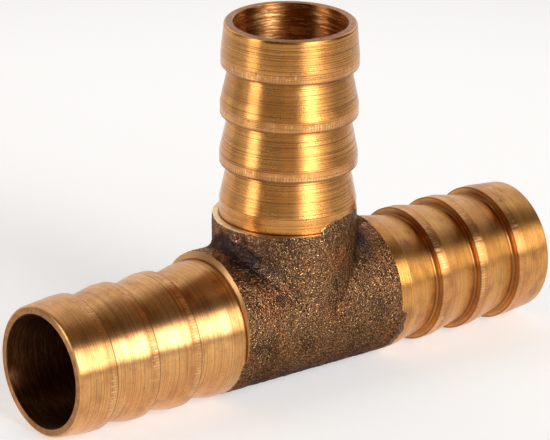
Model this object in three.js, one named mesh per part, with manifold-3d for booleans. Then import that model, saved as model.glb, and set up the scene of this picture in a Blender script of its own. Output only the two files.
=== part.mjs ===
// Brass barbed tee for 16 mm irrigation hose, in millimetres, +Z up.
// A rough as-cast centre carries three turned hose tails: left and right along X, the branch along +Z.
// The origin is under the middle of the fitting, at the height of the lowest barb crests.
import * as THREE from "three";
import { mergeVertices } from "three/addons/utils/BufferGeometryUtils.js";
import Module from "manifold-3d";

const wasm = await Module();
wasm.setup();

// Distance of each open end from the point where the run axis meets the branch axis.
const LEFT_REACH = 36.9;
const RIGHT_REACH = 35.7;
const BRANCH_REACH = 36.5;

// Hose tail, the same on all three sides. Lengths are measured inwards from the open end.
const BORE_RADIUS = 7.0;
const TIP_RADIUS = 8.02;
const CREST_RADIUS = 8.4;
const VALLEY_RADIUS = 7.4;
const COLLAR_RADIUS = 8.34;
const BARB_COUNT = 3;
const FIRST_BARB_LENGTH = 5.3;
const BARB_PITCH = 6.2;
const LAND_LENGTH = 1.4;
const LAST_RAMP_LENGTH = 4.6;
const COLLAR_LENGTH = 2.1;
const EDGE_BREAK = 0.12;
const ROOT_FILLET = 0.25;
const TAIL_LENGTH = FIRST_BARB_LENGTH + (BARB_COUNT - 1) * BARB_PITCH + LAST_RAMP_LENGTH + COLLAR_LENGTH;

// As-cast skin of the centre. It sits a little off the turned axes, as the casting did in the lathe.
const RUN_SKIN_RADIUS = 8.88;
const RUN_SKIN_RISE = 0.52;
const BRANCH_SKIN_RADIUS = 8.86;
const BRANCH_SKIN_SHIFT = -0.46;
const CROTCH_FILLET = 0.9;

// Facet counts.
const ROUND_STEPS = 48;
const FILLET_STEPS = 4;
const ROOT_STEPS = 2;

// Small overlaps that make clean joins and cuts.
const CUT_PAST = 1;
const FILLET_BITE = 0.4;

const turnedBrass = new THREE.MeshStandardMaterial({ color: 0xc8924a, roughness: 0.28, metalness: 1 });
const castBrass = new THREE.MeshStandardMaterial({ color: 0x4a3424, roughness: 0.62, metalness: 0.8 });

// A solid for joining and cutting, from a closed three.js geometry.
function solidFrom(geometry) {
  const bare = geometry.clone();
  bare.deleteAttribute("normal");
  bare.deleteAttribute("uv");
  const merged = mergeVertices(bare);
  const vertProperties = new Float32Array(merged.attributes.position.array);
  const triVerts = new Uint32Array(merged.index.array);
  return new wasm.Manifold(new wasm.Mesh({ numProp: 3, vertProperties, triVerts }));
}

function geometryFrom(solid) {
  const mesh = solid.getMesh();
  const geometry = new THREE.BufferGeometry();
  geometry.setAttribute("position", new THREE.BufferAttribute(mesh.vertProperties, 3));
  geometry.setIndex(new THREE.BufferAttribute(mesh.triVerts, 1));
  geometry.computeVertexNormals();
  return geometry;
}

// Outline of one hose tail as [radius, height above the shoulder] pairs, from the open end to the shoulder.
function tailOutline() {
  const outline = [[TIP_RADIUS - EDGE_BREAK, TAIL_LENGTH]];
  outline.push([TIP_RADIUS, TAIL_LENGTH - EDGE_BREAK]);
  for (let barb = 0; barb < BARB_COUNT; barb += 1) {
    const step = TAIL_LENGTH - FIRST_BARB_LENGTH - barb * BARB_PITCH;
    outline.push([CREST_RADIUS, step + LAND_LENGTH]);
    outline.push([CREST_RADIUS, step + EDGE_BREAK]);
    outline.push([CREST_RADIUS - EDGE_BREAK, step]);
    for (let i = 0; i <= ROOT_STEPS; i += 1) {
      const turn = (i / ROOT_STEPS) * (Math.PI / 2);
      const radius = VALLEY_RADIUS + ROOT_FILLET * (1 - Math.sin(turn));
      outline.push([radius, step - ROOT_FILLET * (1 - Math.cos(turn))]);
    }
  }
  outline.push([COLLAR_RADIUS, COLLAR_LENGTH]);
  outline.push([COLLAR_RADIUS, 0]);
  return outline;
}

// A tail stands on its shoulder at z = 0 and opens upwards.
function tailGeometry() {
  const ring = [[BORE_RADIUS, 0], [BORE_RADIUS, TAIL_LENGTH], ...tailOutline(), [BORE_RADIUS, 0]];
  const profile = ring.map(([radius, height]) => new THREE.Vector2(radius, height)).reverse();
  return new THREE.LatheGeometry(profile, ROUND_STEPS).rotateX(Math.PI / 2);
}

// A round bar from start to end along +Z.
function bar(radius, start, end) {
  const geometry = new THREE.CylinderGeometry(radius, radius, end - start, ROUND_STEPS);
  return geometry.rotateX(Math.PI / 2).translate(0, 0, (start + end) / 2);
}

// The same bar along +X.
function barAlongX(radius, start, end) {
  return bar(radius, start, end).rotateY(Math.PI / 2);
}

// One cross-section of the crotch fillet, at an angle about the branch axis. A ball that rolls round the
// corner touches both skins, and the section is what it leaves between them, plus a bite into the metal.
function filletSection(angle) {
  const branchGap = BRANCH_SKIN_RADIUS + CROTCH_FILLET;
  const runGap = RUN_SKIN_RADIUS + CROTCH_FILLET;
  const side = branchGap * Math.sin(angle);
  const centre = new THREE.Vector3(branchGap * Math.cos(angle), side, Math.sqrt(runGap ** 2 - side ** 2));
  const toBranch = new THREE.Vector3(-centre.x, -centre.y, 0).normalize();
  const toRun = new THREE.Vector3(0, -centre.y, -centre.z).normalize();
  const middle = toBranch.clone().add(toRun).normalize();
  const halfOpening = toBranch.angleTo(toRun) / 2;
  const section = [];
  for (let i = 0; i <= FILLET_STEPS; i += 1) {
    const direction = toBranch.clone().lerp(toRun, i / FILLET_STEPS).normalize();
    section.push(centre.clone().addScaledVector(direction, CROTCH_FILLET));
  }
  section.push(centre.clone().addScaledVector(middle, CROTCH_FILLET / Math.cos(halfOpening) + FILLET_BITE));
  return section;
}

function crotchFilletGeometry() {
  const positions = [];
  const triangles = [];
  const count = FILLET_STEPS + 2;
  for (let turn = 0; turn < ROUND_STEPS; turn += 1) {
    for (const point of filletSection((turn / ROUND_STEPS) * 2 * Math.PI)) {
      positions.push(point.x + BRANCH_SKIN_SHIFT, point.y, point.z + RUN_SKIN_RISE);
    }
    const here = turn * count;
    const next = ((turn + 1) % ROUND_STEPS) * count;
    for (let i = 0; i < count; i += 1) {
      const j = (i + 1) % count;
      triangles.push(here + i, here + j, next + i);
      triangles.push(here + j, next + j, next + i);
    }
  }
  const geometry = new THREE.BufferGeometry();
  geometry.setAttribute("position", new THREE.Float32BufferAttribute(positions, 3));
  geometry.setIndex(triangles);
  geometry.computeVertexNormals();
  return geometry;
}

const LEFT_SHOULDER = TAIL_LENGTH - LEFT_REACH;
const RIGHT_SHOULDER = RIGHT_REACH - TAIL_LENGTH;
const BRANCH_SHOULDER = BRANCH_REACH - TAIL_LENGTH;

// The centre: two crossing skins and their fillet, faced off square where the tails begin, with the T
// passage drilled through. The skins are joined before the passage is cut.
function castBodyGeometry() {
  const runSkin = barAlongX(RUN_SKIN_RADIUS, LEFT_SHOULDER, RIGHT_SHOULDER).translate(0, 0, RUN_SKIN_RISE);
  const branchSkin = bar(BRANCH_SKIN_RADIUS, RUN_SKIN_RISE, BRANCH_SHOULDER).translate(BRANCH_SKIN_SHIFT, 0, 0);
  const runBore = barAlongX(BORE_RADIUS, LEFT_SHOULDER - CUT_PAST, RIGHT_SHOULDER + CUT_PAST);
  const branchBore = bar(BORE_RADIUS, 0, BRANCH_SHOULDER + CUT_PAST);
  const outside = solidFrom(runSkin).add(solidFrom(branchSkin)).add(solidFrom(crotchFilletGeometry()));
  return geometryFrom(outside.subtract(solidFrom(runBore)).subtract(solidFrom(branchBore)));
}

function namedMesh(name, geometry, material) {
  const mesh = new THREE.Mesh(geometry, material);
  mesh.name = name;
  return mesh;
}

function hoseTail(name, shoulder, turnAboutY) {
  const tail = namedMesh(name, tailGeometry(), turnedBrass.clone());
  tail.position.copy(shoulder);
  tail.rotation.y = turnAboutY;
  return tail;
}

const tee = new THREE.Group();
tee.position.set((LEFT_REACH - RIGHT_REACH) / 2, 0, CREST_RADIUS);
tee.add(namedMesh("cast_body", castBodyGeometry(), castBrass));
tee.add(hoseTail("left_hose_tail", new THREE.Vector3(LEFT_SHOULDER, 0, 0), -Math.PI / 2));
tee.add(hoseTail("right_hose_tail", new THREE.Vector3(RIGHT_SHOULDER, 0, 0), Math.PI / 2));
tee.add(hoseTail("branch_hose_tail", new THREE.Vector3(0, 0, BRANCH_SHOULDER), 0));

export default tee;
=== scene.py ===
import math

import bpy
import numpy as np
from mathutils import Matrix, Vector, noise


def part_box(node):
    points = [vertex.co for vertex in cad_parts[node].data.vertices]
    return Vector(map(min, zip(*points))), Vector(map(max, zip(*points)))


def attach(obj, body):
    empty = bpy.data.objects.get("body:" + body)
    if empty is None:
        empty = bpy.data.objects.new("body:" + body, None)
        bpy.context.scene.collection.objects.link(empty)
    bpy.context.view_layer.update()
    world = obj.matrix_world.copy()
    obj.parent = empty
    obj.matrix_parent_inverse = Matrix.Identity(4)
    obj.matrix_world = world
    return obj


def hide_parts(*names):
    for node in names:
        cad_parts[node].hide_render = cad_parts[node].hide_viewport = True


# Looks of a brass hose tee: three lathe-turned barbed tails on a rough as-cast centre.
# The casting is made the way the real one is: a rough blank whose skins stand off centre from the
# machined axes, then faced, chamfered and drilled.
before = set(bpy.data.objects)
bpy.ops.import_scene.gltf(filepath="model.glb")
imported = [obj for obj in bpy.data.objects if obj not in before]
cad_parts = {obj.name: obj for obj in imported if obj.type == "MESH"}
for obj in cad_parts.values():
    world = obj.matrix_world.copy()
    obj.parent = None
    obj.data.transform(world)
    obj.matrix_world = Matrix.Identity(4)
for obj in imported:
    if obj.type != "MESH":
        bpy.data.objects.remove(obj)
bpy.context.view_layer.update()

MM = 0.001
BODY = "root"

# ---------------------------------------------------------------- sizes, in millimetres

BORE_RADIUS = 7.0
TIP_RADIUS = 8.02
VALLEY_RADIUS = 7.4
COLLAR_RADIUS = 8.34
BARB_COUNT = 3
FIRST_BARB_LENGTH = 5.3
BARB_PITCH = 6.2
LAND_LENGTH = 1.4
COLLAR_LENGTH = 2.1
RUN_SKIN_RADIUS = 8.88
RUN_SKIN_RISE = 0.52
BRANCH_SKIN_RADIUS = 8.86
BRANCH_SKIN_SHIFT = -0.46
CROTCH_FILLET = 1.2
RUN_CHAMFER_START = 8.72
BRANCH_CHAMFER_START = 9.05
CHAMFER_SLOPE = 0.52
TOOL_WIDTH = 3
TOOL_CLEARANCE = 0.1
DRILL_OVERRUN = 1
CASTING_SPARE = 0.8

# The burr stands at this angle about the branch, in degrees. It is long along the branch and thin.
BURR_ANGLE = -96
BURR_INSET = 0.12
BURR_HALF_WIDTH = 0.10
BURR_HALF_LENGTH = 0.8

# The frame gives everything else: where the axes cross, where each shoulder is and how long a tail is.
low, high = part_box("branch_hose_tail")
TAIL_LENGTH = (high.z - low.z) / MM
CREST_RADIUS = (high.x - low.x) / 2 / MM
AXIS_X = (low.x + high.x) / 2 / MM
AXIS_Z = CREST_RADIUS
BRANCH_SHOULDER = low.z / MM - AXIS_Z
LEFT_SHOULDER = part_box("left_hose_tail")[1].x / MM - AXIS_X
RIGHT_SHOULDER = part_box("right_hose_tail")[0].x / MM - AXIS_X
CROSSING = Vector((AXIS_X, 0, AXIS_Z)) * MM

# The middle of each shoulder, about the crossing, and the turn that points a tail away from it.
LEFT_CENTRE = (LEFT_SHOULDER, 0, 0)
RIGHT_CENTRE = (RIGHT_SHOULDER, 0, 0)
BRANCH_CENTRE = (0, 0, BRANCH_SHOULDER)
TURNED_TO_LEFT = Matrix.Rotation(-math.pi / 2, 4, "Y")
TURNED_TO_RIGHT = Matrix.Rotation(math.pi / 2, 4, "Y")
TURNED_UP = Matrix.Identity(4)

# Size across, height and seed of the lumps in the sand-cast skin. They stay below the nominal skin.
SKIN_LUMPS = ((1.9, 0.07, 3), (0.7, 0.04, 8), (0.36, 0.05, 21))
SKIN_ALLOWANCE = 0.06

# How far the tails depart from a perfect turning: the tool chattered on the lands and left short ticks
# across them, the lands are pocked, and the skin lobes on the collars stand a little proud.
TICK_DEPTH = 0.04
POCK_DEPTH = 0.022
WOBBLE_DEPTH = 0.003
LOBE_RISE = 0.04

# Mesh fineness: columns round a turned surface, and the widest gap between rings and between voxels.
TURN_STEPS = 288
RING_SPACING = 0.16
CAST_VOXEL = 0.2

# Half the floor's width, and the distances between which its painted pool of light and its glow fade, all in
# millimetres.
FLOOR_REACH = 2500
FLOOR_POOL_FADE = (90, 300)


# ---------------------------------------------------------------- mesh helpers

def mesh_object(name, vertices, faces, materials=()):
    """An object from vertices in millimetres and faces, shaded smooth."""
    mesh = bpy.data.meshes.new(name)
    mesh.from_pydata([tuple(v) for v in np.asarray(vertices) * MM], [], faces)
    for material in materials:
        mesh.materials.append(material)
    mesh.polygons.foreach_set("use_smooth", [True] * len(mesh.polygons))
    made = bpy.data.objects.new(name, mesh)
    bpy.context.scene.collection.objects.link(made)
    return made


def rounded(corners, steps=3):
    """The outline through corners (radius, height, rounding), each corner replaced by an arc."""
    points = []
    count = len(corners)
    for i, (r, h, rounding) in enumerate(corners):
        here = np.array([r, h])
        if rounding == 0:
            points.append(here)
            continue
        before = np.array(corners[(i - 1) % count][:2]) - here
        after = np.array(corners[(i + 1) % count][:2]) - here
        before /= np.linalg.norm(before)
        after /= np.linalg.norm(after)
        half = math.acos(np.clip(before @ after, -1, 1)) / 2
        reach = rounding / math.tan(half)
        start, end = here + before * reach, here + after * reach
        middle = (before + after) / np.linalg.norm(before + after)
        centre = here + middle * rounding / math.sin(half)
        for k in range(steps + 1):
            along = start + (end - start) * k / steps - centre
            points.append(centre + along / np.linalg.norm(along) * rounding)
    return np.array(points)


def spaced(outline, spacing):
    """A closed outline with extra points so that none are further apart than spacing."""
    filled = []
    for here, there in zip(outline, np.roll(outline, -1, axis=0)):
        pieces = max(1, math.ceil(np.linalg.norm(there - here) / spacing))
        filled += [here + (there - here) * k / pieces for k in range(pieces)]
    return np.array(filled)


def revolved_faces(rings, steps):
    """Quads of a closed outline turned about Z, facing out for an outline that runs anticlockwise."""
    ring = np.arange(rings)[:, None]
    step = np.arange(steps)[None, :]
    a = ring * steps + step
    b = ring * steps + (step + 1) % steps
    c = (ring + 1) % rings * steps + (step + 1) % steps
    d = (ring + 1) % rings * steps + step
    return np.stack([a, b, c, d], -1).reshape(-1, 4).tolist()


def put_attribute(made, name, values):
    attribute = made.data.attributes.new(name, "FLOAT", "POINT")
    attribute.data.foreach_set("value", np.asarray(values, np.float32))


def smoothstep(low_edge, high_edge, values):
    t = np.clip((values - low_edge) / (high_edge - low_edge), 0, 1)
    return t * t * (3 - 2 * t)


def noise_at(points, scale, offset=0.0):
    """Perlin noise, about -1 to 1, at points in millimetres with features about scale across."""
    shift = Vector((offset, offset * 1.7, offset * 0.3))
    return np.array([noise.noise(Vector(p) / scale + shift) for p in points])


# ---------------------------------------------------------------- node helpers

class Nodes:
    """A node tree, with short ways to add and link nodes."""

    def __init__(self, tree):
        self.tree = tree

    def add(self, kind, **settings):
        node = self.tree.nodes.new(kind)
        for key, value in settings.items():
            setattr(node, key, value)
        return node

    def feed(self, socket, value):
        if isinstance(value, bpy.types.NodeSocket):
            self.tree.links.new(value, socket)
        else:
            socket.default_value = value

    def place(self, scale):
        """The object's own coordinates, stretched: scale is in features per millimetre along X, Y and Z."""
        mapping = self.add("ShaderNodeMapping")
        coordinates = self.add("ShaderNodeTexCoord").outputs["Object"]
        self.feed(mapping.inputs["Vector"], coordinates)
        mapping.inputs["Scale"].default_value = [s / MM for s in scale]
        return mapping.outputs["Vector"]

    def noise(self, scale, detail=2.0, roughness=0.5):
        node = self.add("ShaderNodeTexNoise")
        self.feed(node.inputs["Vector"], self.place(scale))
        node.inputs["Scale"].default_value = 1.0
        node.inputs["Detail"].default_value = detail
        node.inputs["Roughness"].default_value = roughness
        return node.outputs["Fac"]

    def rings(self, radius, per_millimetre, detail):
        """Noise that depends on a radius alone, so that it draws circles."""
        node = self.add("ShaderNodeTexNoise", noise_dimensions="1D")
        self.feed(node.inputs["W"], self.math("MULTIPLY", radius, per_millimetre))
        node.inputs["Scale"].default_value = 1.0
        node.inputs["Detail"].default_value = detail
        return node.outputs["Fac"]

    def length(self, vector, keep):
        """Length of the parts of a vector along the axes marked 1 in keep."""
        flat = self.add("ShaderNodeVectorMath", operation="MULTIPLY")
        self.feed(flat.inputs[0], vector)
        flat.inputs[1].default_value = keep
        size = self.add("ShaderNodeVectorMath", operation="LENGTH")
        self.feed(size.inputs[0], flat.outputs["Vector"])
        return size.outputs["Value"]

    def attribute(self, name):
        node = self.add("ShaderNodeAttribute", attribute_name=name)
        return node.outputs["Fac"]

    def ramp(self, value, low_in, high_in, low_out=0.0, high_out=1.0):
        node = self.add("ShaderNodeMapRange", interpolation_type="SMOOTHSTEP")
        for key, given in zip(
            ("Value", "From Min", "From Max", "To Min", "To Max"),
            (value, low_in, high_in, low_out, high_out),
        ):
            self.feed(node.inputs[key], given)
        return node.outputs["Result"]

    def math(self, operation, a, b=0.0):
        node = self.add("ShaderNodeMath", operation=operation)
        self.feed(node.inputs[0], a)
        self.feed(node.inputs[1], b)
        return node.outputs[0]

    def mix(self, factor, a, b):
        """A colour between a and b."""
        node = self.add("ShaderNodeMix", data_type="RGBA")
        self.feed(node.inputs["Factor"], factor)
        for socket, colour in ((node.inputs[6], a), (node.inputs[7], b)):
            self.feed(socket, colour if isinstance(colour, bpy.types.NodeSocket) else (*colour, 1))
        return node.outputs[2]

    def dot(self, vector, axis):
        node = self.add("ShaderNodeVectorMath", operation="DOT_PRODUCT")
        self.feed(node.inputs[0], vector)
        node.inputs[1].default_value = axis
        return node.outputs["Value"]

    def plus(self, a, b):
        node = self.add("ShaderNodeVectorMath", operation="ADD")
        self.feed(node.inputs[0], a)
        self.feed(node.inputs[1], b)
        return node.outputs["Vector"]

    def bump(self, height, depth, below=None):
        """Bump whose height of 1 stands depth millimetres proud."""
        node = self.add("ShaderNodeBump")
        node.inputs["Strength"].default_value = 1.0
        node.inputs["Distance"].default_value = depth * MM
        self.feed(node.inputs["Height"], height)
        if below is not None:
            self.feed(node.inputs["Normal"], below)
        return node.outputs["Normal"]


# ---------------------------------------------------------------- materials

BRANCH_BRASS = ((0.74, 0.322, 0.069), (0.84, 0.41, 0.100))
LEFT_BRASS = ((0.755, 0.375, 0.120), (0.85, 0.465, 0.165))
RIGHT_BRASS = ((0.735, 0.335, 0.070), (0.81, 0.415, 0.100))
# Painted glint colour, for the chatter ticks and the streaks in the bore.
BRASS_GLINT = (0.96, 0.60, 0.26)
BRASS_COPPER = (0.70, 0.285, 0.095)
BRASS_LINE = (0.26, 0.10, 0.028)
TARNISH = (0.46, 0.180, 0.055)
RIM_TAN = (0.38, 0.18, 0.075)
RIM_WORN = (0.14, 0.060, 0.026)
# The upward branch face is painted paler and the sideways run faces browner: lit and shaded copies of one
# faced brass.
FACE_LIT_PALE = (0.93, 0.66, 0.38)
FACE_SHADED_BROWN = (0.62, 0.34, 0.135)
FACE_TAN = (0.50, 0.29, 0.15)
# Painted shade: the bores are coloured far darker than brass.
BORE_SHADE_BROWN = (0.115, 0.036, 0.011)
BORE_SHADE_COPPER = (0.56, 0.22, 0.065)
# Painted shade, laid into the lips of the lands, the roots of the steps and the corners of the shoulder
# faces.
PAINTED_SHADE = (0.20, 0.070, 0.022)
SKIN_DARK = (0.040, 0.022, 0.014)
SKIN_BROWN = (0.20, 0.100, 0.047)
SKIN_RED = (0.26, 0.10, 0.04)
# Painted shade near the crotch creases.
SKIN_VIOLET_SHADE = (0.046, 0.032, 0.035)
# Painted sheen on the crotch flanks.
SKIN_SHEEN_COPPER = (0.42, 0.17, 0.065)
# Rubbed bare brass on the grain tops, mixed strongly enough to be a painted glint as well.
SKIN_GOLD = (0.85, 0.52, 0.22)
# Painted glints on the crotch flanks.
SKIN_GLINT = (1.0, 0.80, 0.62)
# The floor's painted pool of light, and the duller colour beyond it.
FLOOR_POOL = (0.62, 0.62, 0.62)
FLOOR_BEYOND_POOL = (0.42, 0.42, 0.42)


def new_material(name):
    """A new material, its node helper and its shader."""
    material = bpy.data.materials.new(name)
    material.use_nodes = True
    nodes = Nodes(material.node_tree)
    nodes.tree.nodes.clear()
    shader = nodes.add("ShaderNodeBsdfPrincipled")
    shader.inputs["Metallic"].default_value = 1.0
    output = nodes.add("ShaderNodeOutputMaterial")
    nodes.feed(output.inputs["Surface"], shader.outputs["BSDF"])
    return material, nodes, shader


def skin_look(nodes):
    """Colour of the cast skin, the height of its sand grain, and where the grain tops are rubbed to bare
    brass, lightened further as painted glints.
    """
    grain = nodes.noise((5.8, 5.8, 5.8), 2, 0.5)
    red = nodes.ramp(nodes.noise((0.17, 0.20, 0.18), 2, 0.6), 0.48, 0.66, 0.0, 0.8)
    dark = nodes.ramp(nodes.noise((0.30, 0.26, 0.30), 3, 0.6), 0.50, 0.66, 0.0, 0.6)
    bright = nodes.ramp(grain, 0.58, 0.67)
    colour = nodes.mix(red, SKIN_BROWN, SKIN_RED)
    colour = nodes.mix(dark, colour, SKIN_DARK)
    colour = nodes.mix(nodes.ramp(grain, 0.38, 0.50, 0.92, 0.0), colour, SKIN_DARK)
    # The grain tops: gold of rubbed bare brass, mixed strongly enough to be painted glints as well.
    return nodes.mix(nodes.math("MULTIPLY", bright, 0.62), colour, SKIN_GOLD), grain, bright


def crotch_mask(nodes):
    """Two masks for the crotches, where the run and the branch meet: one for painted shade that reaches a
    few millimetres from them, and a narrow one for a painted sheen with glints on the flanks above and below
    the crease."""
    position = nodes.place((1, 1, 1))
    from_run = nodes.add("ShaderNodeVectorMath", operation="SUBTRACT")
    nodes.feed(from_run.inputs[0], position)
    from_run.inputs[1].default_value = (0, 0, RUN_SKIN_RISE)
    from_branch = nodes.add("ShaderNodeVectorMath", operation="SUBTRACT")
    nodes.feed(from_branch.inputs[0], position)
    from_branch.inputs[1].default_value = (BRANCH_SKIN_SHIFT, 0, 0)
    run = nodes.math("SUBTRACT", nodes.length(from_run.outputs[0], (0, 1, 1)), RUN_SKIN_RADIUS)
    branch = nodes.math("SUBTRACT", nodes.length(from_branch.outputs[0], (1, 1, 0)), BRANCH_SKIN_RADIUS)
    away = nodes.math("MAXIMUM", run, branch)
    aside = nodes.length(position, (0, 1, 0))
    close = nodes.ramp(away, 0.9, 4.2, 1.0, 0.0)
    near = nodes.math("MULTIPLY", close, nodes.ramp(aside, 4.5, 8.0, 1.0, 0.0))
    flank = nodes.math("MULTIPLY", nodes.ramp(away, 0.9, 1.6), nodes.ramp(away, 2.8, 4.2, 1.0, 0.0))
    return near, nodes.math("MULTIPLY", flank, nodes.ramp(aside, 2.4, 6.0, 1.0, 0.0))


def cast_skin():
    material, nodes, shader = new_material("cast_brass_skin")
    colour, grain, bright = skin_look(nodes)
    near, inner = crotch_mask(nodes)
    blotches = nodes.ramp(nodes.noise((0.45, 0.45, 0.45), 2), 0.32, 0.58, 0.30, 0.88)
    # Painted shade: dark violet near the crotch creases, in blotches.
    colour = nodes.mix(nodes.math("MULTIPLY", near, blotches), colour, SKIN_VIOLET_SHADE)
    # Painted sheen and glints: coppery patches with bright specks on the flanks beside the crotches.
    painted_sheen = nodes.math("MULTIPLY", inner, nodes.ramp(nodes.noise((0.30, 0.50, 0.30), 3, 0.6), 0.42, 0.56))
    colour = nodes.mix(nodes.math("MULTIPLY", painted_sheen, 0.6), colour, SKIN_SHEEN_COPPER)
    glints = nodes.math("MULTIPLY", painted_sheen, nodes.ramp(nodes.noise((5.2, 5.2, 5.2), 1), 0.60, 0.68))
    colour = nodes.mix(glints, colour, SKIN_GLINT)
    nodes.feed(shader.inputs["Base Color"], colour)
    shader.inputs["Specular Tint"].default_value = (0.45, 0.40, 0.42, 1.0)
    nodes.feed(shader.inputs["Roughness"], nodes.ramp(bright, 0, 1, 0.40, 0.26))
    coarse = nodes.bump(nodes.noise((2.6, 2.6, 2.6), 2, 0.5), 0.15)
    nodes.feed(shader.inputs["Normal"], nodes.bump(grain, 0.11, coarse))
    return material


def turned_brass(name, sheen, lines_per_mm, line_strength, line_depth, tarnish, metal, bore, streaked):
    """Bright brass with fine rings about the object's own Z axis. sheen is the roughness of the tool
    finish, metal its two shades, tarnish how dark its blotches are, bore the colour inside, painted dark
    as shade, and streaked how strong the ridges, their bump and the painted glint streaks in the bore are.
    Attributes mark the lands, their lips (painted shadow lines) and ticks (painted glints on real dents),
    the roots of the steps (painted shade), the end rim, the bore and the cast skin left on the collar."""
    material, nodes, shader = new_material(name)
    land, lip, rim, bored = (nodes.attribute(mark) for mark in ("land", "lip", "rim", "bored"))
    lines = nodes.noise((0.025, 0.025, lines_per_mm), 3, 0.6)
    bands = nodes.noise((0.02, 0.02, 1.8), 2, 0.5)
    tint = nodes.ramp(nodes.noise((0.16, 0.16, 0.30), 3), 0.35, 0.68)
    colour = nodes.mix(tint, *metal)
    colour = nodes.mix(nodes.math("MULTIPLY", land, 0.45), colour, BRASS_COPPER)
    mottle = nodes.ramp(nodes.noise((2.4, 2.4, 2.8), 3, 0.7), 0.46, 0.66, 0.0, 0.4)
    colour = nodes.mix(mottle, colour, BRASS_COPPER)
    blotches = nodes.ramp(nodes.noise((0.33, 0.33, 0.50), 5, 0.68), 0.42, 0.72, 0.0, tarnish)
    colour = nodes.mix(blotches, colour, TARNISH)
    colour = nodes.mix(nodes.ramp(lines, 0.36, 0.52, line_strength, 0.0), colour, BRASS_LINE)
    # Painted glints: the chatter ticks, which are real dents, are coloured lighter too.
    colour = nodes.mix(nodes.attribute("tick"), colour, BRASS_GLINT)
    specks = nodes.ramp(nodes.noise((3.4, 3.4, 3.4), 2, 0.6), 0.66, 0.72, 0.0, 0.8)
    colour = nodes.mix(specks, colour, BRASS_LINE)
    # Painted shadow: a dark line along the lip at the top of each step.
    colour = nodes.mix(nodes.math("MULTIPLY", lip, 0.8), colour, PAINTED_SHADE)
    # Painted shade in the roots of the steps, broken up by bands.
    root_shaded = nodes.math("MULTIPLY", nodes.attribute("root_shade"), nodes.ramp(bands, 0.3, 0.7, 1.0, 0.6))
    colour = nodes.mix(root_shaded, colour, PAINTED_SHADE)
    worn = nodes.ramp(nodes.noise((1.5, 1.5, 1.5), 3, 0.7), 0.42, 0.62, 0.0, 0.6)
    colour = nodes.mix(nodes.math("MULTIPLY", rim, 0.85), colour, nodes.mix(worn, RIM_TAN, RIM_WORN))
    ridge_noise = nodes.noise((0.08, 0.08, 3.4), 2, 0.6)
    ridges = nodes.ramp(ridge_noise, 0.40, 0.56, 0.68 * streaked, 0.0)
    # Painted glints: bright streaks along the ridges in the bore.
    streaks = nodes.ramp(nodes.noise((0.5, 0.5, 4.4), 3, 0.7), 0.52, 0.58, 0.0, streaked)
    inside = nodes.mix(streaks, nodes.mix(ridges, bore, BRASS_LINE), BRASS_GLINT)
    colour = nodes.mix(bored, colour, inside)
    rough = nodes.ramp(nodes.noise((0.5, 0.5, 0.8), 3), 0.3, 0.7, sheen - 0.03, sheen + 0.03)
    rough = nodes.math("ADD", rough, nodes.math("MULTIPLY", rim, 0.05))
    rough = nodes.math("ADD", rough, nodes.math("MULTIPLY", blotches, 0.06))
    rough = nodes.math("ADD", rough, nodes.math("MULTIPLY", bored, 0.06))
    chatter = nodes.math("MULTIPLY", ridge_noise, bored)
    normal = nodes.bump(nodes.math("MULTIPLY", lines, nodes.math("SUBTRACT", 1.0, bored)), line_depth)
    normal = nodes.bump(chatter, 0.01 + 0.04 * streaked, normal)
    skin, grain, _ = skin_look(nodes)
    ragged = nodes.math("ADD", nodes.attribute("skin"), nodes.ramp(grain, 0.2, 0.8, -0.30, 0.30))
    covered = nodes.ramp(ragged, 0.47, 0.53)
    colour = nodes.mix(covered, colour, skin)
    rough = nodes.math("ADD", rough, nodes.math("MULTIPLY", covered, 0.15))
    normal = nodes.bump(nodes.math("MULTIPLY", grain, covered), 0.16, normal)
    nodes.feed(shader.inputs["Base Color"], colour)
    nodes.feed(shader.inputs["Roughness"], rough)
    nodes.feed(shader.inputs["Normal"], normal)
    dull = nodes.math("MAXIMUM", covered, nodes.math("MAXIMUM", rim, bored))
    bare = nodes.math("SUBTRACT", 1.0, dull)
    nodes.feed(shader.inputs["Coat Weight"], nodes.math("MULTIPLY", bare, 0.38))
    shader.inputs["Coat Roughness"].default_value = 0.3
    shader.inputs["Anisotropic"].default_value = 0.9
    shader.inputs["Anisotropic Rotation"].default_value = 0.25
    tangent = nodes.add("ShaderNodeTangent", direction_type="RADIAL", axis="Z")
    nodes.feed(shader.inputs["Tangent"], tangent.outputs["Tangent"])
    return material


def faced_brass(name, across, brass):
    """A shoulder face: circular tool marks, with painted shade in the corner at the foot of the collar. The
    face lies along the two axes marked 1 in across, and brass is its colour away from that painted shade."""
    material, nodes, shader = new_material(name)
    spoke = nodes.add("ShaderNodeVectorMath", operation="MULTIPLY")
    nodes.feed(spoke.inputs[0], nodes.place((1, 1, 1)))
    spoke.inputs[1].default_value = across
    radius = nodes.length(spoke.outputs["Vector"], across)
    rings = nodes.rings(radius, 6.0, 3)
    # Painted shade in the corner at the foot of the collar.
    corner = nodes.ramp(radius, COLLAR_RADIUS + 0.06, COLLAR_RADIUS + 0.26, 0.85, 0.0)
    mottle = nodes.ramp(nodes.noise((1.6, 1.6, 1.6), 4, 0.65), 0.45, 0.66, 0.0, 0.55)
    colour = nodes.mix(mottle, brass, FACE_TAN)
    nodes.feed(shader.inputs["Base Color"], nodes.mix(corner, colour, PAINTED_SHADE))
    shader.inputs["Roughness"].default_value = 0.4
    shader.inputs["Coat Weight"].default_value = 0.08
    shader.inputs["Coat Roughness"].default_value = 0.35
    shader.inputs["Anisotropic"].default_value = 0.8
    nodes.feed(shader.inputs["Tangent"], spoke.outputs["Vector"])
    nodes.feed(shader.inputs["Normal"], nodes.bump(rings, 0.012))
    return material


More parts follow.
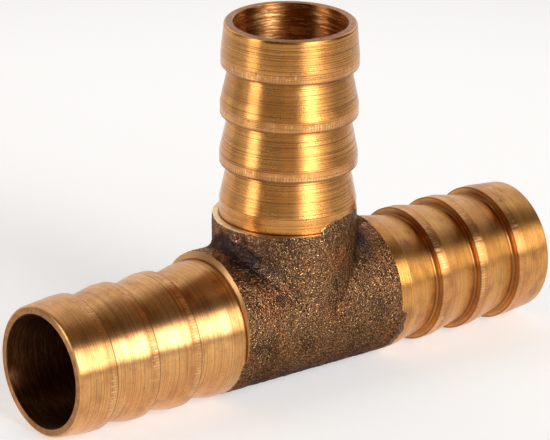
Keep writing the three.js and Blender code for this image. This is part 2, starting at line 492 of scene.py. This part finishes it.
def bored_brass():
    """The drilled passages inside the casting, coloured dark brown as painted shade."""
    material, nodes, shader = new_material("bored_brass")
    colour = nodes.mix(nodes.noise((2.5, 2.5, 2.5), 3), BORE_SHADE_BROWN, BRASS_LINE)
    nodes.feed(shader.inputs["Base Color"], colour)
    shader.inputs["Roughness"].default_value = 0.38
    nodes.feed(shader.inputs["Normal"], nodes.bump(nodes.noise((2.5, 2.5, 2.5), 2), 0.06))
    return material


# ---------------------------------------------------------------- turned tails

def barb_steps():
    """Height above the shoulder of the step at the back of each barb."""
    return [TAIL_LENGTH - FIRST_BARB_LENGTH - barb * BARB_PITCH for barb in range(BARB_COUNT)]


def tail_outline():
    """Closed outline of a tail, (radius, height above the shoulder), anticlockwise from the bore."""
    corners = [(BORE_RADIUS, 0, 0), (COLLAR_RADIUS, 0, 0), (COLLAR_RADIUS, COLLAR_LENGTH, 0.3)]
    for step in reversed(barb_steps()):
        corners.append((VALLEY_RADIUS, step, 0.22))
        corners.append((CREST_RADIUS, step, 0.09))
        corners.append((CREST_RADIUS, step + LAND_LENGTH, 0.5))
    corners.append((TIP_RADIUS, TAIL_LENGTH, 0.30))
    corners.append((BORE_RADIUS, TAIL_LENGTH, 0.08))
    return spaced(rounded(corners), RING_SPACING)


def skin_lobe(angle, direction, half_width, height):
    """Height up the collar that the cast skin reaches at each angle, in degrees about the axis."""
    away = np.abs((angle - direction + 180) % 360 - 180)
    return height * (1 - smoothstep(half_width - 10, half_width, away))


def tail_mesh(name, material, casting, lobe, seed):
    """One tail about its own Z axis, standing on its shoulder. The cast skin still covers part of the
    collar: casting is the radius of that skin and its shift along X, and lobe gives the covered side's
    direction in degrees about Z, its half width in degrees and its height."""
    outline = tail_outline()
    turn = np.arange(TURN_STEPS) / TURN_STEPS * 2 * math.pi
    radius = np.repeat(outline[:, 0], TURN_STEPS)
    height = np.repeat(outline[:, 1], TURN_STEPS)
    angle = np.tile(turn, len(outline))
    outside = radius > BORE_RADIUS + 0.05
    round_points = np.stack([np.cos(angle) * 8, np.sin(angle) * 8, height * 3], -1)
    wobble = noise_at(round_points, 2.2, seed) * WOBBLE_DEPTH
    column = np.tile(np.arange(TURN_STEPS), len(outline))
    chance = np.random.default_rng(round(seed))
    lands = np.zeros(len(radius))
    lips = np.zeros(len(radius))
    ticks = np.zeros(len(radius))
    root_shade = np.zeros(len(radius))
    for step in barb_steps():
        depth = (np.arange(TURN_STEPS) % 2) * chance.uniform(0.3, 1.0, TURN_STEPS)
        reach = chance.uniform(0.5, LAND_LENGTH - 0.3, TURN_STEPS)
        above = height - step
        struck = smoothstep(-0.02, 0.05, above) * (1 - smoothstep(0, 0.25, above - reach[column]))
        ticks = np.maximum(ticks, depth[column] * struck)
        lands = np.maximum(lands, 1 - smoothstep(0.5, 0.85, np.abs(height - step - LAND_LENGTH / 2)))
        # The lips mark where a painted shadow line goes, just above each step.
        lips = np.maximum(lips, np.where(above > -0.01, 1 - smoothstep(0.07, 0.24, above), 0))
        # Painted shade: darkest at the inner corner at the foot of each step, fading within 0.75 mm.
        from_root = np.hypot(radius - VALLEY_RADIUS, height - step)
        root_shade = np.maximum(root_shade, np.where(height < step + 0.06, 1 - smoothstep(0.15, 0.75, from_root), 0))
    dents = np.stack([np.cos(angle) * 8.4, np.sin(angle) * 8.4, height], -1)
    pocks = np.clip(noise_at(dents, 0.27, seed + 5) - 0.25, 0, 1) * POCK_DEPTH
    edge = skin_lobe(np.degrees(angle), *lobe)
    edge += noise_at(dents, 1.1, seed + 9) * 0.30 * np.clip(edge / lobe[2], 0, 1)
    skin = np.clip(0.5 + (edge - height) / 0.5, 0, 1) * (edge > 0.02) * outside
    on_crest = radius > CREST_RADIUS - 0.16
    patches = smoothstep(-0.25, 0.25, noise_at(round_points, 4.5, seed + 13)) * 0.8 + 0.2
    ticks = ticks * on_crest * patches
    radius = radius - np.where(outside, np.abs(wobble) + pocks * lands + TICK_DEPTH * ticks, 0)
    radius = radius + LOBE_RISE * smoothstep(0.4, 0.8, skin)
    cast_radius, shift = casting
    cast = shift * np.cos(angle) + np.sqrt(cast_radius**2 - (shift * np.sin(angle))**2) - SKIN_ALLOWANCE
    left_on = np.clip(edge / 0.3, 0, 1) * (1 - smoothstep(0, 1, height / np.maximum(edge, 0.05)))
    radius = radius + np.where(outside, np.maximum(cast - radius, 0) * left_on, 0)
    vertices = np.stack([np.cos(angle) * radius, np.sin(angle) * radius, height], -1)
    made = mesh_object(name, vertices, revolved_faces(len(outline), TURN_STEPS), [material])
    put_attribute(made, "root_shade", root_shade * outside * 0.8)
    put_attribute(made, "land", lands * outside)
    put_attribute(made, "lip", lips * on_crest)
    put_attribute(made, "tick", ticks)
    put_attribute(made, "rim", height > TAIL_LENGTH - 0.005)
    put_attribute(made, "bored", ~outside)
    put_attribute(made, "skin", skin)
    return made


# ---------------------------------------------------------------- cast centre

def skin_distance(points):
    """Signed distance to the smooth cast skin: the run and branch skins with a fillet between them, which
    fades out at the front and back, where the two skins run alongside each other."""
    x, y, z = points.T
    from_run = np.hypot(y, z - RUN_SKIN_RISE)
    from_branch = np.hypot(x - BRANCH_SKIN_SHIFT, y)
    run = from_run - RUN_SKIN_RADIUS
    branch = np.maximum(from_branch - BRANCH_SKIN_RADIUS, RUN_SKIN_RISE - z)
    fillet = CROTCH_FILLET * (1 - np.clip(y**2 / (from_run * from_branch + 1e-6), 0, 1))
    inner = np.hypot(np.maximum(fillet - run, 0), np.maximum(fillet - branch, 0))
    return np.maximum(fillet, np.minimum(run, branch)) - inner


def slope(field, points, step=0.01):
    parts = [field(points + offset) - field(points - offset) for offset in np.eye(3) * step]
    return np.stack(parts, -1) / (2 * step)


def bar_object(name, radius, start, end, axis, centre=(0, 0, 0), steps=96):
    """A round bar from start to end along axis, in millimetres about the crossing of the axes."""
    turn = np.arange(steps) / steps * 2 * math.pi
    ring = np.stack([np.cos(turn) * radius, np.sin(turn) * radius, np.zeros(steps)], -1)
    points = np.concatenate([ring + (0, 0, start), ring + (0, 0, end)])
    if axis == "X":
        points = points[:, [2, 0, 1]]
    faces = [[k, (k + 1) % steps, steps + (k + 1) % steps, steps + k] for k in range(steps)]
    faces += [list(range(steps))[::-1], list(range(steps, 2 * steps))]
    return mesh_object(name, points + np.array(centre), faces)


def apply_modifier(made):
    """Applies the object's one modifier to its mesh."""
    bpy.context.view_layer.update()
    evaluated = made.evaluated_get(bpy.context.evaluated_depsgraph_get())
    made.data = bpy.data.meshes.new_from_object(evaluated)
    made.modifiers.clear()


def cut(made, operation, tool):
    """Cuts made with a tool, or joins the tool to it, and removes the tool."""
    modifier = made.modifiers.new("cut", "BOOLEAN")
    modifier.operation = operation
    modifier.solver = "MANIFOLD"
    modifier.material_mode = "TRANSFER"
    modifier.object = tool
    apply_modifier(made)
    bpy.data.objects.remove(tool)


def cast_blank(material):
    """The rough casting before machining, a little longer than the finished centre."""
    left, right = LEFT_SHOULDER - CASTING_SPARE, RIGHT_SHOULDER + CASTING_SPARE
    top = BRANCH_SHOULDER + CASTING_SPARE
    run = bar_object("blank", RUN_SKIN_RADIUS, left, right, "X", (0, 0, RUN_SKIN_RISE))
    branch_centre = (BRANCH_SKIN_SHIFT, 0, 0)
    branch = bar_object("blank_branch", BRANCH_SKIN_RADIUS, RUN_SKIN_RISE, top, "Z", branch_centre)
    cut(run, "UNION", branch)
    remesh = run.modifiers.new("remesh", "REMESH")
    remesh.mode = "VOXEL"
    remesh.voxel_size = CAST_VOXEL * MM
    apply_modifier(run)
    count = len(run.data.vertices)
    points = np.empty(count * 3, np.float32)
    run.data.vertices.foreach_get("co", points)
    points = points.reshape(-1, 3).astype(float) / MM
    near_end = CASTING_SPARE / 2
    ends = (points[:, 0] < LEFT_SHOULDER - near_end) | (points[:, 0] > RIGHT_SHOULDER + near_end)
    ends |= points[:, 2] > BRANCH_SHOULDER + near_end
    for _ in range(4):
        gradient = slope(skin_distance, points)
        move = skin_distance(points)[:, None] * gradient / (gradient**2).sum(1)[:, None]
        points = points - np.where(ends[:, None], 0, move)
    lumps = np.zeros(count)
    for size, height, seed in SKIN_LUMPS:
        lumps += noise_at(points, size, seed) * height
    points = points + slope(skin_distance, points) * np.minimum(lumps - SKIN_ALLOWANCE, 0)[:, None]
    run.data.vertices.foreach_set("co", (points * MM).ravel())
    run.data.materials.clear()
    run.data.materials.append(material)
    run.data.update()
    return run


def chamfer_tool(start_radius, shoulder, turned, material):
    """What the chamfering tool takes off a shoulder outside start_radius. The castings stand off centre,
    so the chamfer is wide on one side and runs out to nothing on the other."""
    outline = np.array([
        (start_radius - TOOL_CLEARANCE / CHAMFER_SLOPE, TOOL_CLEARANCE),
        (start_radius + TOOL_WIDTH, -TOOL_WIDTH * CHAMFER_SLOPE),
        (start_radius + TOOL_WIDTH, TOOL_CLEARANCE),
    ])
    turn = np.arange(TURN_STEPS) / TURN_STEPS * 2 * math.pi
    flat = np.zeros(TURN_STEPS)
    rings = [np.stack([np.cos(turn) * r, np.sin(turn) * r, flat + h], -1) for r, h in outline]
    faces = revolved_faces(len(outline), TURN_STEPS)
    tool = mesh_object("chamfer", np.concatenate(rings), faces, [material])
    tool.data.shade_flat()
    tool.matrix_world = Matrix.Translation(Vector(shoulder) * MM) @ turned
    return tool


def burr(material):
    """The sliver the facing tool left standing at the edge of the skin, at the branch shoulder."""
    angle = math.radians(BURR_ANGLE)
    out = np.array([math.cos(angle), math.sin(angle), 0])
    along = np.array([-math.sin(angle), math.cos(angle), 0])
    middle = out * (BRANCH_SKIN_RADIUS - BURR_INSET) + (BRANCH_SKIN_SHIFT, 0, BRANCH_SHOULDER)
    waist = [side * BURR_HALF_WIDTH for side in (along, out, -along, -out)]
    points = [middle + (0, 0, BURR_HALF_LENGTH), middle + (0, 0, -BURR_HALF_LENGTH)]
    points += [middle + offset for offset in waist]
    faces = [[0, 2 + k, 2 + (k + 1) % 4] for k in range(4)] + [[1, 2 + (k + 1) % 4, 2 + k] for k in range(4)]
    return mesh_object("burr", points, faces, [material])


def cast_centre(skin, run_faced, branch_faced, bored):
    """The cast centre, machined as the real one is: faced, chamfered and drilled."""
    made = cast_blank(skin)
    stock_depth = 40
    middle = Vector(((LEFT_SHOULDER + RIGHT_SHOULDER) / 2, 0, BRANCH_SHOULDER - stock_depth / 2)) * MM
    bpy.ops.mesh.primitive_cube_add(size=1, location=middle)
    stock = bpy.context.object
    stock.scale = Vector((RIGHT_SHOULDER - LEFT_SHOULDER, stock_depth, stock_depth)) * MM
    stock.data.materials.append(run_faced)
    stock.data.materials.append(branch_faced)
    for side in stock.data.polygons:
        side.material_index = 1 if side.normal.z > 0.5 else 0
    cut(made, "INTERSECT", stock)
    chamfers = (
        (RUN_CHAMFER_START, LEFT_CENTRE, TURNED_TO_LEFT, run_faced),
        (RUN_CHAMFER_START, RIGHT_CENTRE, TURNED_TO_RIGHT, run_faced),
        (BRANCH_CHAMFER_START, BRANCH_CENTRE, TURNED_UP, branch_faced),
    )
    for chamfer in chamfers:
        cut(made, "DIFFERENCE", chamfer_tool(*chamfer))
    cut(made, "UNION", burr(branch_faced))
    drills = (
        ("run_bore", LEFT_SHOULDER - DRILL_OVERRUN, RIGHT_SHOULDER + DRILL_OVERRUN, "X"),
        ("branch_bore", 0, BRANCH_SHOULDER + DRILL_OVERRUN, "Z"),
    )
    for name, start, end, axis in drills:
        drill = bar_object(name, BORE_RADIUS, start, end, axis, steps=TURN_STEPS)
        drill.data.materials.append(bored)
        cut(made, "DIFFERENCE", drill)
    return made


# ---------------------------------------------------------------- build the pieces

left_finish = turned_brass(
    "turned_brass_left", sheen=0.33, lines_per_mm=9.5, line_strength=0.58, line_depth=0.032,
    tarnish=0.55, metal=LEFT_BRASS, bore=BORE_SHADE_BROWN, streaked=0.1,
)
right_finish = turned_brass(
    "turned_brass_right", sheen=0.33, lines_per_mm=9.5, line_strength=0.50, line_depth=0.028,
    tarnish=0.85, metal=RIGHT_BRASS, bore=BORE_SHADE_BROWN, streaked=0.1,
)
branch_finish = turned_brass(
    "turned_brass_branch", sheen=0.27, lines_per_mm=8.5, line_strength=0.95, line_depth=0.034,
    tarnish=0.30, metal=BRANCH_BRASS, bore=BORE_SHADE_COPPER, streaked=0.85,
)

TAILS = (
    # node, shoulder centre, turn, finish, cast skin (radius, shift),
    # skin lobe on the collar (direction, half width, height), seed
    ("left_hose_tail", LEFT_CENTRE, TURNED_TO_LEFT, left_finish,
     (RUN_SKIN_RADIUS, RUN_SKIN_RISE), (180, 80, 0.35), 1.0),
    ("right_hose_tail", RIGHT_CENTRE, TURNED_TO_RIGHT, right_finish,
     (RUN_SKIN_RADIUS, -RUN_SKIN_RISE), (0, 88, 1.25), 2.0),
    ("branch_hose_tail", BRANCH_CENTRE, TURNED_UP, branch_finish,
     (BRANCH_SKIN_RADIUS, BRANCH_SKIN_SHIFT), (0, 101, 1.15), 3.0),
)
for node, shoulder, turned, finish, casting, lobe, seed in TAILS:
    tail = tail_mesh(node.replace("hose_tail", "tail_turned"), finish, casting, lobe, seed)
    tail.matrix_world = Matrix.Translation(CROSSING + Vector(shoulder) * MM) @ turned
    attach(tail, BODY)
    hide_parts(node)

# Lit and shaded copies of one faced brass: the run faces painted browner, the upward branch face paler.
run_face = faced_brass("faced_brass_run", (0, 1, 1), FACE_SHADED_BROWN)
branch_face = faced_brass("faced_brass_branch", (1, 1, 0), FACE_LIT_PALE)
centre = cast_centre(cast_skin(), run_face, branch_face, bored_brass())
centre.name = "cast_centre"
centre.location = CROSSING
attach(centre, BODY)
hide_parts("cast_body")


# ---------------------------------------------------------------- studio

def direction(azimuth, elevation):
    """Azimuth 0 is towards -Y and grows towards +X, in degrees."""
    a, e = math.radians(azimuth), math.radians(elevation)
    return Vector((math.sin(a) * math.cos(e), -math.cos(a) * math.cos(e), math.sin(e)))


# Soft panels around the fitting: azimuth; half width to full and to no light; elevation where light
# starts, is full, starts to fade and ends, all in degrees; radiance; colour.
WHITE = (1.0, 1.0, 1.0)
PANELS = (
    (2, 3, 15, 5, 14, 35, 46, 11.0, WHITE),
    (8, 18, 35, 2, 12, 34, 48, 2.3, WHITE),
    (-103, 3, 13, -2, 4, 30, 45, 4.2, WHITE),
    (-112, 10, 26, -2, 4, 30, 45, 0.6, WHITE),
    (147, 54, 67, -5, 0, 60, 73, 0.85, WHITE),
    (-38, 4, 14, -5, 0, 15, 25, 0.3, (1.0, 0.5, 0.25)),
)
ROOM_LIGHT = (0.10, 0.070, 0.036)


def soft_studio():
    """The world: a dim warm room with soft-edged light panels around it."""
    world = bpy.data.worlds.new("studio")
    world.use_nodes = True
    nodes = Nodes(world.node_tree)
    nodes.tree.nodes.clear()
    outward = nodes.add("ShaderNodeTexCoord").outputs["Generated"]
    rise = nodes.dot(outward, (0, 0, 1))
    level = nodes.length(outward, (1, 1, 0))
    light = ROOM_LIGHT
    for azimuth, full, none, start, lowest, highest, end, radiance, colour in PANELS:
        facing = nodes.math("DIVIDE", nodes.dot(outward, direction(azimuth, 0)), level)
        across = nodes.ramp(facing, math.cos(math.radians(none)), math.cos(math.radians(full)))
        bottom = nodes.ramp(rise, math.sin(math.radians(start)), math.sin(math.radians(lowest)))
        top = nodes.ramp(rise, math.sin(math.radians(highest)), math.sin(math.radians(end)), radiance, 0)
        shape = nodes.math("MULTIPLY", nodes.math("MULTIPLY", across, bottom), top)
        panel = nodes.add("ShaderNodeVectorMath", operation="SCALE")
        panel.inputs[0].default_value = colour
        nodes.feed(panel.inputs["Scale"], shape)
        light = nodes.plus(light, panel.outputs["Vector"])
    background = nodes.add("ShaderNodeBackground")
    nodes.feed(background.inputs["Color"], light)
    nodes.feed(nodes.add("ShaderNodeOutputWorld").inputs["Surface"], background.outputs["Background"])
    bpy.context.scene.world = world


def plain_floor():
    """A pale floor that glows, with a painted pool of light round the fitting that grows duller further
    away.
    """
    material, nodes, shader = new_material("pale_floor")
    beyond_pool = nodes.ramp(nodes.length(nodes.place((1, 1, 1)), (1, 1, 0)), *FLOOR_POOL_FADE)
    nodes.feed(shader.inputs["Base Color"], nodes.mix(beyond_pool, FLOOR_POOL, FLOOR_BEYOND_POOL))
    shader.inputs["Metallic"].default_value = 0.0
    shader.inputs["Roughness"].default_value = 0.9
    shader.inputs["Emission Color"].default_value = (1, 1, 1, 1)
    # Painted light: the floor glows, strongest inside the pool round the fitting.
    nodes.feed(shader.inputs["Emission Strength"], nodes.ramp(beyond_pool, 0, 1, 0.45, 0.05))
    corners = [(-FLOOR_REACH, -FLOOR_REACH, 0), (FLOOR_REACH, -FLOOR_REACH, 0)]
    corners += [(FLOOR_REACH, FLOOR_REACH, 0), (-FLOOR_REACH, FLOOR_REACH, 0)]
    mesh_object("floor", corners, [[0, 1, 2, 3]], [material])


def studio_camera():
    """The camera: azimuth, elevation and roll in degrees, distance and aim in millimetres."""
    azimuth, elevation, roll, distance = -38.5, 20.6, 0.93, 607.9
    aim = Vector((-1.914, 0, 11.454)) * MM + CROSSING
    back = direction(azimuth, elevation)
    camera = bpy.data.cameras.new("camera")
    camera.lens = 327.8
    camera.sensor_width = 36
    camera.clip_start, camera.clip_end = 0.05, 20
    holder = bpy.data.objects.new("camera", camera)
    bpy.context.scene.collection.objects.link(holder)
    right = Vector((0, 0, 1)).cross(back).normalized()
    up = back.cross(right)
    level = Matrix((right, up, back)).transposed().to_4x4()
    tilt = Matrix.Rotation(math.radians(roll), 4, "Z")
    holder.matrix_world = Matrix.Translation(aim + back * distance * MM) @ level @ tilt
    bpy.context.scene.camera = holder


plain_floor()
soft_studio()
bpy.context.scene.view_settings.view_transform = "Standard"
studio_camera()
